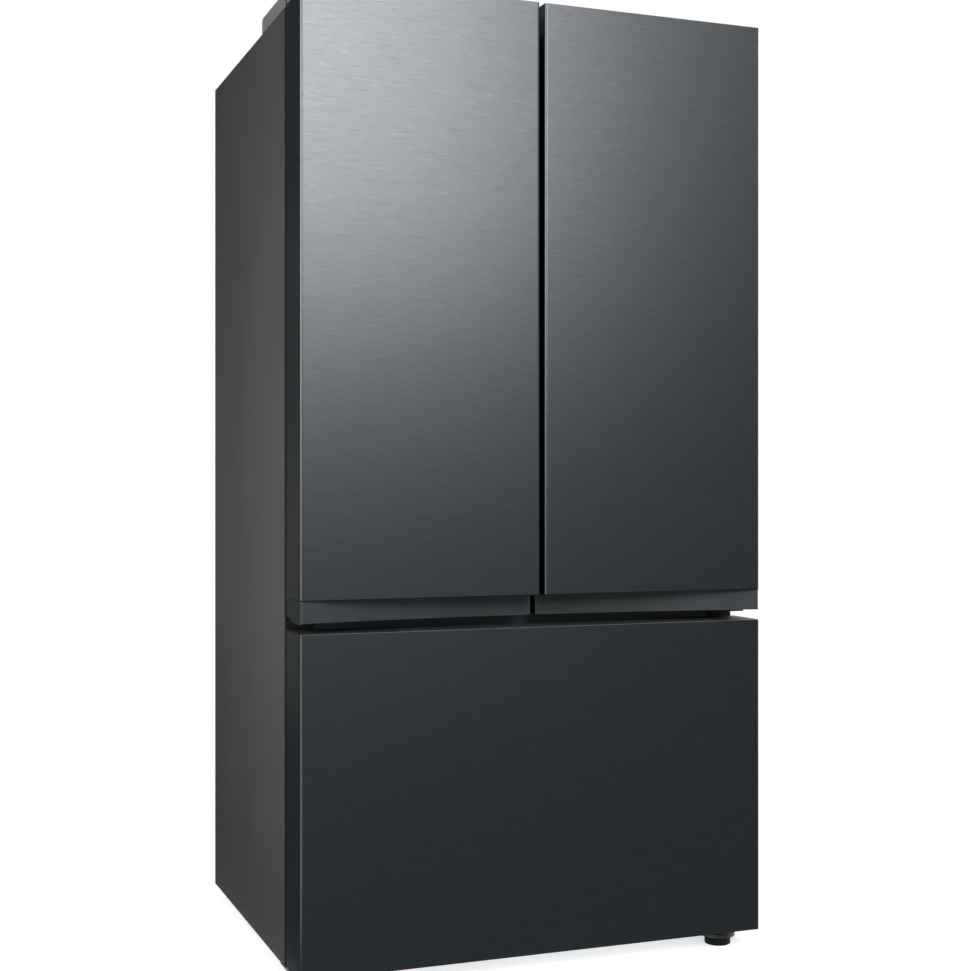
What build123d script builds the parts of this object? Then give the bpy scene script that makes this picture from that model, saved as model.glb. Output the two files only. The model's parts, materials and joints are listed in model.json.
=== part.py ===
"""French door refrigerator: two upper doors over one freezer drawer, no outside handles.

Millimetres. X runs to the right as one faces the doors, Y to the back, Z up. The origin is on
the floor, under the middle of the whole. Every sub-part is a solid of its own in parts/.
"""
import os

from build123d import *

os.makedirs("parts", exist_ok=True)

# --- driving dimensions -------------------------------------------------------------------
width = 908.0            # case and doors, a 36 inch opening
depth = 760.0            # door faces to the raised cover at the back
height = 1779.0          # top of the hinge covers
half = width / 2
front_y = -depth / 2     # face of the doors
rear_y = depth / 2
door_thick = 100.0
seal_gap = 12.0          # door back to case front, filled by the gasket
case_front = front_y + door_thick + seal_gap
case_back = rear_y - 14
case_low = 30.0
case_top = 1750.0
steel = 1.0              # folded sheet
case_bend = 2.2          # outside radius of the case's upper edges
plastic = 2.5            # vacuum-formed liners and moulded bins
running = 0.05           # radial clearance of a pin in its bore
clear = 0.3              # gap between things that slide or seal on each other

# compartments, measured inside the liners
room_half = 402.0        # half width
fridge_floor, fridge_roof = 695.0, 1695.0
freezer_floor, freezer_roof = 85.0, 610.0
room_back = 300.0
step_low_y, step_high_y, step_z = 145.0, 175.0, 345.0   # hump over the machine space
machine_low_y, machine_high_y, machine_top = 195.0, 215.0, 300.0

# doors
door_gap = 10.0
door_back = front_y + door_thick
skin_low, door_top = 694.0, 1775.0
grip_low, grip_high = 653.5, 692.0
grip_depth = 48.0        # the recess under the doors at the middle
grip_end = 1.0           # the same at the outer edges
groove_deep = 7.0        # shadow groove between a door's skin and its grip
hinge_x, hinge_y = half - 16, front_y + 50
pin_top_r, pin_low_r = 6.0, 5.0
pocket_in, pocket_lip = 35.0, 18.0   # hinge pocket: past the pin, and the lip left at the front
dyke_near, dyke_far, dyke_y = 63.0, 380.0, -220.0
dyke_wall = 12.0
bin_y = -180.0
bin_rows = (738.0, 1050.0, 1370.0)
bin_high = 95.0

# freezer drawer
drawer_low, drawer_high = 37.0, 634.5
ledge_mid = 70.0         # depth of the drawer's top at the middle
rail_low, rail_high = 300.0, 345.0
rail_near, rail_far = -250.0, 165.0

# crispers
crisper_half = 352.0
crisper_y = -112.0
crisper_low, crisper_high = 698.0, 900.0
cover_z = 906.0

# feet and rollers
foot_x, foot_y, foot_r = 397.0, -317.0, 25.0
roller_x, roller_y, roller_r = 400.0, 325.0, 20.0

rail_half = room_half + 6    # the case's front flange stops here on each side
rail_deep = -240.0
bulge_x, bulge_y, bulge_z = 356.0, -150.0, 896.0
foam_low = 46.0
pan_y = 190.0
tray_low, tray_high = 397.0, 520.0
ledge_x = 366.0
cover_in, cover_rear, nose_r, cover_slope = 372.0, -85.0, 30.0, 6.0
split_deep, split_long = 10.0, 13.0
plate_x, plate_y = 414.0, -187.0     # middle of the top hinge's plate
arm_y = -225.0                       # where the top hinge's arm starts
arm_z, arm_thick, pin_low_end = 648.0, 4.5, 676.0
foot_high, stem_r = 17.0, 6.0
louvre_rows, louvre_pitch, louvre_long, louvre_out, louvre_high = 8, 18.0, 150.0, 6.0, 10.0
port_z = 62.0
gland_x, gland_r, cord_r = 60.0, 8.0, 4.0
inlet_x, inlet_r, inlet_clear = -60.0, 9.5, 10.5

bend = 5.0               # outside radius of the folded door skins
dyke_low, dyke_high = 722.0, 1672.0
seal_wide = 18.0
ear_rows = (800.0, 1200.0, 1600.0)
fold_x, fold_y = -34.0, -262.0
bar_low, bar_high = 715.0, 1680.0
guide_long, guide_wide, guide_y, guide_turn = 86.0, 46.0, -240.0, 30.0
finger_half, finger_floor, cap_low = 400.0, 612.0, 600.0
shelf_z = (1180.0, 1420.0)
shelf_near, shelf_far, shelf_front, shelf_back = 10.0, 398.0, -130.0, 262.0
track_x = (-370.0, -80.0, 80.0, 370.0)
cover_half, cover_y0, cover_y1 = 400.0, -140.0, 262.0

cold_fan_z = 545.0
pan_floor = case_low + 2.5
shroud_x, hot_fan_y, hot_fan_z = -205.0, 289.0, 125.0


def box(x0, x1, y0, y1, z0, z1, mode=Mode.ADD):
    """A block between two corners, inside whatever part is being built."""
    with Locations(((x0 + x1) / 2, (y0 + y1) / 2, (z0 + z1) / 2)):
        return Box(abs(x1 - x0), abs(y1 - y0), abs(z1 - z0), mode=mode)


def rod(x, y, z0, z1, radius, mode=Mode.ADD):
    """An upright cylinder."""
    with Locations((x, y, (z0 + z1) / 2)):
        return Cylinder(radius, z1 - z0, mode=mode)


def span(side, near, far):
    """The two X values, low first, of a stretch measured from the middle to one side."""
    return sorted((side * near, side * far))


def front_block(x0, x1, y0, y1, z0, z1):
    """A block whose two upright front edges are rounded to lie inside a folded skin."""
    with BuildSketch(Plane.XY.offset(z0)) as plan:
        with Locations(((x0 + x1) / 2, (y0 + y1) / 2)):
            Rectangle(x1 - x0, y1 - y0)
        fillet(plan.vertices().group_by(Axis.Y)[0], bend - steel)
    extrude(plan.sketch, amount=z1 - z0)


def keep(part, name):
    """Label the piece and write its STEP."""
    part.label = name
    export_step(part, f"parts/{name}.step")


def arc_through(half_width, sag):
    """Radius of the arc with that half width and rise."""
    return (half_width ** 2 + sag ** 2) / (2 * sag)


# --- case -----------------------------------------------------------------------------------
with BuildPart() as outer_case:
    # one sheet bent over both sides and the top, with a flange turned in round the front
    with BuildSketch(Plane.XZ.offset(-case_back)):
        with Locations((0, (case_low + case_top) / 2)):
            Rectangle(width, case_top - case_low)
    extrude(amount=case_back - case_front)
    fillet(outer_case.edges().filter_by(Axis.Y).group_by(Axis.Z)[-1], case_bend)
    with BuildSketch(Plane.XZ.offset(-case_back)) as hollow:
        with Locations((0, (case_low + case_top) / 2 - steel)):
            Rectangle(width - 2 * steel, case_top - case_low)
        fillet(hollow.vertices().group_by(Axis.Z)[-1], case_bend - steel)
    extrude(amount=case_back - case_front - steel, mode=Mode.SUBTRACT)
    box(-rail_half, rail_half, case_front - 1, case_front + 2, case_low - 1, fridge_roof + 8,
        Mode.SUBTRACT)
keep(outer_case.part, "outer_case")

with BuildPart() as back_panel:
    # flat sheet inside the case's rear edge, pressed out over the wiring and the water tube
    with BuildSketch(Plane.XZ.offset(-case_back)) as sheet:
        with Locations((0, (machine_top + 2 + case_top - 1.2) / 2)):
            Rectangle(width - 2.4, case_top - machine_top - 3.2)
        fillet(sheet.vertices().group_by(Axis.Y)[-1], 4)
    extrude(amount=steel)
    for inset, start in ((0, 0), (steel, steel + 0.1)):
        with BuildSketch(Plane.XZ.offset(-case_back + start)) as boss:
            with Locations((0, 1060)):
                RectangleRounded(150 - 2 * inset, 1280 - 2 * inset, 20 - inset)
        extrude(boss.sketch, amount=-(rear_y - case_back + start - inset), taper=20,
                mode=Mode.SUBTRACT if inset else Mode.ADD)
keep(back_panel.part, "back_panel")


def room_profile(low, high, back, grow, stepped):
    """Side outline of a compartment, from its front opening back; the freezer's has the hump."""
    if not stepped:
        return [(case_front + steel, low - grow), (back + grow, low - grow),
                (back + grow, high + grow), (case_front + steel, high + grow)]
    return [(case_front + steel, low - grow), (step_low_y + grow, low - grow),
            (step_high_y + grow, step_z - grow), (back + grow, step_z - grow),
            (back + grow, high + grow), (case_front + steel, high + grow)]


def room(low, high, grow=0.0, stepped=False, mode=Mode.ADD):
    """The compartment's space as a solid, larger than the space by grow on each wall."""
    with BuildSketch(Plane.YZ.offset(-room_half - grow)) as outline:
        with BuildLine():
            Polyline(*room_profile(low, high, room_back, grow, stepped), close=True)
        make_face()
    extrude(outline.sketch, amount=2 * (room_half + grow), mode=mode)


def round_rear(space, radius):
    """Rounds the upright rear corners of a compartment's space."""
    fillet(space.edges().filter_by(Axis.Z).group_by(Axis.Y)[-1], radius)


with BuildPart() as fridge_space:
    room(fridge_floor, fridge_roof)
    round_rear(fridge_space, 18)
    box(-room_half, room_half, case_front - 5, case_front + 5, fridge_floor, fridge_roof)
    for side in (-1, 1):
        # the side walls step in beside the crispers
        box(side * bulge_x, side * (room_half + 1), bulge_y, room_back + 1, fridge_floor - 1,
            bulge_z, Mode.SUBTRACT)

with BuildPart() as freezer_space:
    room(freezer_floor, freezer_roof, stepped=True)
    round_rear(freezer_space, 18)
    box(-room_half, room_half, case_front - 5, case_front + 5, freezer_floor, freezer_roof)


def liner_flange(z0, z1):
    """The lip that turns out behind the case's front flange."""
    box(-room_half - 16, room_half + 16, case_front + steel + 0.1, case_front + steel + 2.1, z0, z1)


def crisper_bulges(inset, mode):
    """The blocks that stand in from the side walls beside the crispers."""
    for side in (-1, 1):
        box(side * (bulge_x + inset), side * (room_half + plastic), bulge_y + inset,
            room_back + plastic, fridge_floor - plastic, bulge_z - inset, mode)


with BuildPart() as fridge_liner:
    liner_flange(fridge_floor - plastic, fridge_roof + 14)
    room(fridge_floor, fridge_roof, plastic)
    add(fridge_space.part, mode=Mode.SUBTRACT)
    crisper_bulges(plastic, Mode.SUBTRACT)
    for side in (-1, 1):
        # ledge under the crisper cover
        box(side * (room_half - 10), side * (room_half + 0.5), -150, 250, cover_z - 8, cover_z)
    for x in (-300, -60, 60, 300):
        # runners that the crispers slide on
        box(x - 6, x + 6, crisper_y + 10, 180, fridge_floor - 0.5, crisper_low - clear)
keep(fridge_liner.part, "fridge_liner")

with BuildPart() as freezer_liner:
    liner_flange(freezer_floor - plastic, freezer_roof + plastic)
    room(freezer_floor, freezer_roof, plastic, stepped=True)
    add(freezer_space.part, mode=Mode.SUBTRACT)
    for side in (-1, 1):
        # ledge that the upper tray slides on
        box(side * ledge_x, side * (room_half + 0.5), -200, 215, tray_low - clear - 8,
            tray_low - clear)
keep(freezer_liner.part, "freezer_liner")

with BuildPart() as cabinet_foam:
    # rigid foam between the steel and the liners, cut away over the machine space
    y0, y1 = case_front + steel + 2.2, case_back - steel - 0.1
    box(-half + 1.1, half - 1.1, y0, y1, foam_low, case_top - 1.1)
    fillet(cabinet_foam.edges().filter_by(Axis.Y).group_by(Axis.Z)[-1], case_bend)
    room(fridge_floor, fridge_roof, plastic, mode=Mode.SUBTRACT)
    crisper_bulges(plastic + 0.1, Mode.ADD)
    room(freezer_floor, freezer_roof, plastic, stepped=True, mode=Mode.SUBTRACT)
    box(-rail_half, rail_half, y0 - 1, rail_deep + 0.2, freezer_roof + plastic,
        fridge_floor - plastic, Mode.SUBTRACT)
    with BuildSketch(Plane.YZ.offset(-half)):
        with BuildLine():
            Polyline((machine_low_y, foam_low - 1), (machine_low_y, foam_low),
                     (machine_high_y, machine_top), (y1 + 1, machine_top), (y1 + 1, foam_low - 1),
                     close=True)
        make_face()
    extrude(amount=width, mode=Mode.SUBTRACT)
keep(cabinet_foam.part, "cabinet_foam")

with BuildPart() as centre_rail:
    # steel channel across the front, between the two compartments
    y0 = case_front
    box(-rail_half + 0.2, rail_half - 0.2, y0, y0 + steel - 0.05, freezer_roof - 8, fridge_floor + 2.4)
    for z in (freezer_roof + 5, fridge_floor - 7):
        box(-rail_half + 0.2, rail_half - 0.2, y0, rail_deep, z, z + 1.5)
keep(centre_rail.part, "centre_rail")

with BuildPart() as bottom_plate:
    # sheet that closes the foam below and over the machine space, turned up at the front
    t = 1.2
    with BuildSketch(Plane.YZ.offset(-half + 1.1)):
        with BuildLine():
            Polyline((case_front + 3.3, foam_low), (machine_low_y, foam_low),
                     (machine_high_y, machine_top), (case_back - 1.2, machine_top),
                     (case_back - 1.2, machine_top - t), (machine_high_y + t, machine_top - t),
                     (machine_low_y + t, foam_low - t), (case_front + 3.3, foam_low - t),
                     close=True)
        make_face()
    extrude(amount=width - 2.2)
    box(-rail_half + 0.2, rail_half - 0.2, case_front, case_front + steel - 0.05, foam_low - t,
        freezer_floor - 2)
    box(-rail_half + 0.2, rail_half - 0.2, case_front, case_front + 4, foam_low - t, foam_low)

with BuildPart() as base_pan:
    # floor of the machine space, folded up all round, with a fork and an axle for each roller;
    # its front edge is welded under the plate that closes the foam
    z = case_low + 1
    box(-half + 1.2, half - 1.2, pan_y, case_back - 1, z, z + 14 - 0.2)
    fillet(base_pan.edges().filter_by(Axis.Z), 4)
    box(-half + 2.7, half - 2.7, pan_y + 1.5, case_back - 2.5, z + 1.5, z + 20, Mode.SUBTRACT)
    for side in (-1, 1):
        box(side * (roller_x - 12.5), side * (roller_x + 12.5), roller_y - 24, roller_y + 24,
            z - 1, z + 3, Mode.SUBTRACT)
        for x in (roller_x - 15, roller_x + 12.8):
            x0, x1 = sorted((side * x, side * (x + 2.2)))
            with BuildSketch(Plane.YZ.offset(x0)) as cheek:
                with Locations((roller_y, roller_r)):
                    Circle(9)
                with Locations((roller_y, (roller_r + z + 1) / 2)):
                    Rectangle(18, z + 1 - roller_r)
            extrude(cheek.sketch, amount=x1 - x0)
        with Locations(Location((side * roller_x, roller_y, roller_r), (0, 90, 0))):
            Cylinder(4, 30)
    add(bottom_plate.part)
keep(base_pan.part, "base_pan")

with BuildPart() as machine_cover:
    # rear cover of the machine space, with pressed louvres over the condenser and the compressor
    z0, z1 = case_low + 2, machine_top
    box(-half + 0.3, half - 0.3, case_back, case_back + 1.2, z0, z1)
    fillet(machine_cover.edges().filter_by(Axis.Y), 8)
    for centre in (-215, 215):
        for row in range(louvre_rows):
            z = z0 + 55 + row * louvre_pitch
            with BuildSketch(Plane.YZ.offset(centre - louvre_long / 2)) as hood:
                with BuildLine():
                    y = case_back + 1.2
                    Line((y - 0.4, z), (y + louvre_out, z))
                    ThreePointArc((y + louvre_out, z), (y + 0.72 * louvre_out, z + 0.68 * louvre_high),
                                  (y - 0.4, z + louvre_high))
                    Line((y - 0.4, z + louvre_high), (y - 0.4, z))
                make_face()
            extrude(hood.sketch, amount=louvre_long)
            with BuildSketch(Plane.YZ.offset(centre - louvre_long / 2 + 1.2)) as mouth:
                with BuildLine():
                    y = case_back - 1
                    Line((y, z - 0.1), (y + louvre_out + 1, z - 0.1))
                    ThreePointArc((y + louvre_out + 1, z - 0.1),
                                  (y + 0.72 * louvre_out + 0.8, z + 0.62 * louvre_high),
                                  (y, z + louvre_high - 1.5))
                    Line((y, z + louvre_high - 1.5), (y, z - 0.1))
                make_face()
            extrude(mouth.sketch, amount=louvre_long - 2.4, mode=Mode.SUBTRACT)
    # holes for the cord gland and the water inlet
    for x, r in ((gland_x, gland_r), (inlet_x, inlet_clear)):
        with Locations(Location((x, case_back, port_z), (90, 0, 0))):
            Cylinder(r, 10, mode=Mode.SUBTRACT)
keep(machine_cover.part, "machine_cover")

with BuildPart() as cord_gland:
    # rubber grommet in the rear cover, where the supply cord passes
    with Locations(Location((gland_x, case_back + 0.6, port_z), (90, 0, 0))):
        Cylinder(gland_r - 0.01, 14)
    for y in (case_back - 1.6, case_back + 2.8):
        with Locations(Location((gland_x, y, port_z), (90, 0, 0))):
            Cylinder(gland_r + 3, 3)
    with Locations(Location((gland_x, case_back, port_z), (90, 0, 0))):
        Cylinder(cord_r, 30, mode=Mode.SUBTRACT)
keep(cord_gland.part, "cord_gland")

with BuildPart() as inlet_valve:
    # solenoid water valve on the rear cover, with its threaded inlet outside
    with Locations(Location((inlet_x, case_back - 22, port_z), (90, 0, 0))):
        Cylinder(15, 43.8)
    with Locations(Location((inlet_x, case_back - 1 + 6, port_z), (90, 0, 0))):
        Cylinder(inlet_r, 14)
    with Locations((inlet_x, case_back - 24, port_z + 24)):
        Cylinder(12, 30)
    box(inlet_x - 22, inlet_x + 22, case_back - 5, case_back - 0.1, port_z - 12, port_z + 12)
    with Locations(Location((inlet_x, case_back + 6, port_z), (90, 0, 0))):
        Cylinder(3.2, 30, mode=Mode.SUBTRACT)
keep(inlet_valve.part, "inlet_valve")

# --- hinges at the top and between the doors and the drawer -----------------------------------


def plan_of_cover(side, inset):
    """Plan of a hinge cover: a block on the case and a rounded nose over the hinge pin."""
    with BuildSketch() as plan:
        x0, x1 = cover_in + inset, half - 0.5 - inset
        y0, y1 = case_front + 1 + inset, cover_rear - inset
        with Locations((side * (x0 + x1) / 2, (y0 + y1) / 2)):
            Rectangle(x1 - x0, y1 - y0)
        x0 = hinge_x - nose_r + inset
        with Locations((side * (x0 + x1) / 2, (hinge_y + y1) / 2)):
            Rectangle(x1 - x0, y1 - hinge_y)
        with Locations((side * hinge_x, hinge_y)):
            Circle(nose_r - inset)
        with Locations((side * (x1 + 20), hinge_y)):
            Rectangle(40, 4 * nose_r, mode=Mode.SUBTRACT)
    return plan.sketch


def hinge_cover(side, name):
    """Moulded cover over a top hinge: open below, its nose clear of the door beneath it."""
    with BuildPart() as cover:
        extrude(plan_of_cover(side, 0), amount=height)
        box(-half, half, front_y, rear_y, 0, case_top, Mode.SUBTRACT)
        chamfer(cover.edges().filter_by(Axis.X).group_by(Axis.Y)[-1].sort_by(Axis.Z)[-1], cover_slope)
        fillet(cover.faces().sort_by(Axis.Z)[-1].outer_wire().edges(), 1.5)
        with BuildPart(mode=Mode.PRIVATE) as inside:
            extrude(plan_of_cover(side, plastic), amount=height - plastic)
            chamfer(inside.edges().filter_by(Axis.X).group_by(Axis.Y)[-1].sort_by(Axis.Z)[-1],
                    cover_slope)
        add(inside.part, mode=Mode.SUBTRACT)
        box(-half, half, front_y, case_front, case_top - 1, case_top + 2, Mode.SUBTRACT)
        # gap between the cover's block on the case and its nose over the door
        box(side * (half - split_deep), side * (half + 1), case_front - split_long, case_front + 1,
            case_top, height + 1, Mode.SUBTRACT)
    keep(cover.part, name)


for side, name in ((-1, "left_hinge_cover"), (1, "right_hinge_cover")):
    hinge_cover(side, name)

with BuildPart() as top_hinges:
    for side in (-1, 1):
        with BuildSketch(Plane.XY.offset(case_top)) as plate:
            with Locations((side * plate_x, plate_y)):
                RectangleRounded(64, 150, 8)
            with Locations((side * (plate_x - 20), -130), (side * (plate_x + 20), -130),
                           (side * plate_x, arm_y)):
                Circle(4, mode=Mode.SUBTRACT)
        extrude(plate.sketch, amount=6)
        with BuildSketch(Plane.XY.offset(case_top + 2)) as arm:
            with Locations((side * hinge_x, hinge_y)):
                Circle(12)
            with Locations((side * hinge_x, (hinge_y + arm_y) / 2)):
                Rectangle(24, arm_y - hinge_y)
        extrude(arm.sketch, amount=4)
        rod(side * hinge_x, hinge_y, case_top - 28, case_top + 6, pin_top_r)
keep(top_hinges.part, "top_hinges")

with BuildPart() as centre_hinges:
    for side in (-1, 1):
        # arm close under the door, on a plate against the front of the case
        x0, x1 = span(side, hinge_x - 30, hinge_x + 8)
        with BuildSketch(Plane.XY.offset(arm_z)) as arm:
            with Locations(((x0 + x1) / 2, (hinge_y + case_front) / 2)):
                Rectangle(x1 - x0, case_front - hinge_y)
            with Locations((side * (hinge_x - 11), hinge_y)):
                SlotOverall(38, 18)
        extrude(arm.sketch, amount=arm_thick)
        with BuildSketch(Plane.XZ.offset(-case_front)) as flange:
            with Locations((side * (hinge_x - 11), arm_z - 4)):
                RectangleRounded(50, 38, 4)
        extrude(flange.sketch, amount=3)
        rod(side * hinge_x, hinge_y, arm_z, pin_low_end, pin_low_r)
        rod(side * hinge_x, hinge_y, arm_z, grip_low - clear, 8)
keep(centre_hinges.part, "centre_hinges")

# --- feet and rollers -------------------------------------------------------------------------
with BuildPart() as leg_brackets:
    for side in (-1, 1):
        with BuildSketch(Plane.XY.offset(foot_high)) as plate:
            with Locations((side * foot_x, foot_y)):
                Circle(34)
            with Locations((side * 409, -256)):
                RectangleRounded(74, 122, 10)
        extrude(plate.sketch, amount=7)
        with BuildSketch(Plane.XY.offset(foot_high)) as riser:
            with Locations((side * 409, -229)):
                RectangleRounded(74, 66, 6)
        extrude(riser.sketch, amount=foam_low - 1.3 - foot_high)
        rod(side * foot_x, foot_y, 0, 40, stem_r + running, Mode.SUBTRACT)
keep(leg_brackets.part, "leg_brackets")

for side, name in ((-1, "left_foot"), (1, "right_foot")):
    with BuildPart() as foot:
        # screw foot: a ribbed knob to turn by hand, on a stem through its bracket
        rod(side * foot_x, foot_y, 0, foot_high - clear, foot_r)
        chamfer(foot.edges().filter_by(GeomType.CIRCLE), 1.5)
        with Locations((side * foot_x, foot_y, foot_high / 2)):
            with PolarLocations(foot_r + 1.2, 14):
                Cylinder(2.6, 30, mode=Mode.SUBTRACT)
        rod(side * foot_x, foot_y, 1, drawer_low - 3, stem_r)
    keep(foot.part, name)

for side, name in ((-1, "left_roller"), (1, "right_roller")):
    with BuildPart() as roller:
        with Locations(Location((side * roller_x, roller_y, roller_r), (0, 90, 0))):
            Cylinder(roller_r, 22)
            chamfer(roller.edges().filter_by(GeomType.CIRCLE), 2)
            Cylinder(4 + running, 30, mode=Mode.SUBTRACT)
    keep(roller.part, name)

# --- upper doors ------------------------------------------------------------------------------


def hinge_pocket(side, floor, wall=0.0):
    """Cuts the lowered corner of a door's top, where the hinge reaches over it."""
    x0, x1 = span(side, hinge_x - pocket_in + wall, half + 1)
    box(x0, x1, front_y + pocket_lip, door_back + 1, floor, door_top + 1, Mode.SUBTRACT)


def door_skin(side, name):
    """Brushed sheet folded round the front and both edges of a door."""
    x0, x1 = span(side, door_gap / 2, half)
    with BuildPart() as skin:
        with BuildSketch(Plane.XY.offset(skin_low)) as fold:
            with Locations(((x0 + x1) / 2, (front_y + door_back) / 2)):
                Rectangle(x1 - x0, door_back - front_y)
            fillet(fold.vertices().group_by(Axis.Y)[0], bend)
            with BuildSketch(mode=Mode.PRIVATE) as core:
                with Locations(((x0 + x1) / 2, (front_y + door_back) / 2 + 1)):
                    Rectangle(x1 - x0 - 2 * steel, door_back - front_y)
                fillet(core.vertices().group_by(Axis.Y)[0], bend - steel)
            add(core.sketch, mode=Mode.SUBTRACT)
        extrude(fold.sketch, amount=door_top - skin_low)
        hinge_pocket(side, case_top)
    keep(skin.part, name)


def door_cap(side, name):
    """Moulded top cap, with the pocket for the hinge and the bore for its pin."""
    x0, x1 = span(side, door_gap / 2 + 1.1, half - 1.1)
    with BuildPart() as cap:
        front_block(x0, x1, front_y + 1.1, door_back - 3.1, case_top - 5, door_top)
        hinge_pocket(side, case_top)
        rod(side * hinge_x, hinge_y, case_top - 35, case_top - 4, 13)
        rod(side * hinge_x, hinge_y, case_top - 31, case_top + 1, pin_top_r + running, Mode.SUBTRACT)
    keep(cap.part, name)


def door_grip(side, name):
    """Moulded bottom cap: its front is scooped to one arc that runs across both doors."""
    x0, x1 = span(side, door_gap / 2, half)
    radius = arc_through(half, grip_depth - grip_end)
    with BuildPart() as grip:
        with BuildSketch(Plane.XY.offset(grip_low)) as plan:
            with Locations(((x0 + x1) / 2, (front_y + door_back) / 2)):
                Rectangle(x1 - x0, door_thick)
            with Locations((0, front_y + grip_depth - radius)):
                Circle(radius, mode=Mode.SUBTRACT)
            fillet(plan.vertices().group_by(Axis.Y)[0], bend)
        extrude(plan.sketch, amount=grip_high - grip_low)
        # the underside rises to the back
        with BuildSketch(Plane.YZ.offset(x0 - 1)) as wedge:
            with BuildLine():
                Polyline((front_y + door_thick / 2, grip_low - 1), (front_y + door_thick / 2, grip_low),
                         (door_back + 1, grip_low + 5.5), (door_back + 1, grip_low - 1), close=True)
            make_face()
        extrude(wedge.sketch, amount=x1 - x0 + 2, mode=Mode.SUBTRACT)
        # plate that closes the door above the recess, set back below the skin's edge
        front_block(x0 + 1.6, x1 - 1.6, front_y + groove_deep, door_back - 3.1, grip_high, skin_low + 1)
        front_block(x0 + 1.6, x1 - 1.6, front_y + 1.6, door_back - 3.1, skin_low + 0.4, skin_low + 2)
        rod(side * hinge_x, hinge_y, grip_low - 5, grip_low + 28, pin_low_r + running, Mode.SUBTRACT)
    keep(grip.part, name)


def door_foam(side, name):
    x0, x1 = span(side, door_gap / 2 + 1.2, half - 1.2)
    with BuildPart() as foam:
        front_block(x0, x1, front_y + 1.2, door_back - 3.1, skin_low + 2.1, case_top - 5.1)
        rod(side * hinge_x, hinge_y, case_top - 36, case_top, 13.1, Mode.SUBTRACT)
    keep(foam.part, name)


def door_liner(side, name):
    """Inner door: a vacuum-formed plate with a raised frame that carries the bins."""
    x0, x1 = span(side, door_gap / 2 + 1.1, half - 1.1)
    d0, d1 = span(side, dyke_near, dyke_far)
    z0, z1 = dyke_low, dyke_high
    with BuildPart() as liner:
        box(x0, x1, door_back - 3, door_back, grip_high + 0.2, door_top - 0.5)
        hinge_pocket(side, case_top - 0.1, -0.2)
        with BuildSketch(Plane.XZ.offset(-door_back)) as frame:
            with Locations(((d0 + d1) / 2, (z0 + z1) / 2)):
                RectangleRounded(d1 - d0, z1 - z0, 22)
                RectangleRounded(d1 - d0 - 2 * dyke_wall, z1 - z0 - 2 * dyke_wall, 12,
                                 mode=Mode.SUBTRACT)
        extrude(frame.sketch, amount=-(dyke_y - door_back))
        fillet(liner.faces().filter_by(Axis.Y).sort_by(Axis.Y)[-1].edges(), 4)
        for z in bin_rows:
            # lugs under each bin
            for near, far in ((dyke_near + dyke_wall - 1, dyke_near + dyke_wall + 8),
                              (dyke_far - dyke_wall - 8, dyke_far - dyke_wall + 1)):
                l0, l1 = span(side, near, far)
                box(l0, l1, door_back - 0.5, dyke_y - 6, z - 8, z)
        if side < 0:
            # ears of the folding centre bar
            for z in ear_rows:
                with BuildSketch(Plane.XY.offset(z - 15)) as ear:
                    with Locations((fold_x, fold_y)):
                        Circle(5)
                    with Locations((fold_x, (door_back - 1 + fold_y) / 2)):
                        Rectangle(10, fold_y - door_back + 1)
                    with Locations((fold_x, fold_y)):
                        Circle(2.5 + running, mode=Mode.SUBTRACT)
                extrude(ear.sketch, amount=30)
    keep(liner.part, name)


def seal_ring(x0, x1, z0, z1, name):
    """Magnetic gasket: a closed ring between a door's back and the case."""
    with BuildPart() as ring:
        with BuildSketch(Plane.XZ.offset(-door_back)) as outline:
            with Locations(((x0 + x1) / 2, (z0 + z1) / 2)):
                RectangleRounded(x1 - x0, z1 - z0, 6)
                RectangleRounded(x1 - x0 - 2 * seal_wide, z1 - z0 - 2 * seal_wide, 3,
                                 mode=Mode.SUBTRACT)
        extrude(outline.sketch, amount=-(seal_gap - clear))
        # the bellows: a groove round the outside
        with BuildSketch(Plane.XZ.offset(-door_back - 4)) as bellows:
            with Locations(((x0 + x1) / 2, (z0 + z1) / 2)):
                RectangleRounded(x1 - x0 + 4, z1 - z0 + 4, 6)
                RectangleRounded(x1 - x0 - 7, z1 - z0 - 7, 4, mode=Mode.SUBTRACT)
        extrude(bellows.sketch, amount=-3.5, mode=Mode.SUBTRACT)
    keep(ring.part, name)


def open_tray(x0, x1, y0, y1, z0, z1, round_, draft=2.0, wall=plastic):
    """A moulded open-topped bin: drafted walls, rounded corners and floor."""
    with BuildPart() as tray:
        for inset in (0, wall):
            with BuildSketch(Plane.XY.offset(z1)) as rim:
                with Locations(((x0 + x1) / 2, (y0 + y1) / 2)):
                    RectangleRounded(x1 - x0 - 2 * inset, y1 - y0 - 2 * inset, round_ - inset)
            extrude(rim.sketch, amount=-(z1 - z0 - inset), taper=draft,
                    mode=Mode.SUBTRACT if inset else Mode.ADD)
            if not inset:
                fillet(tray.faces().sort_by(Axis.Z)[0].edges(), 4)
    return tray.part


def door_bins(side, name):
    with BuildPart() as bins:
        x0, x1 = span(side, dyke_near + dyke_wall + 1.2, dyke_far - dyke_wall - 1.2)
        for z in bin_rows:
            add(open_tray(x0, x1, door_back + 0.4, bin_y, z, z + bin_high, 14, draft=1.0))
    keep(bins.part, name)


for side, hand in ((-1, "left"), (1, "right")):
    door_skin(side, f"{hand}_door_skin")
    door_cap(side, f"{hand}_door_cap")
    door_grip(side, f"{hand}_door_grip")
    door_foam(side, f"{hand}_door_foam")
    door_liner(side, f"{hand}_door_liner")
    seal_ring(*span(side, 8, hinge_x - 6), 672, 1732, f"{hand}_door_gasket")
    door_bins(side, f"{hand}_door_bins")

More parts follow.
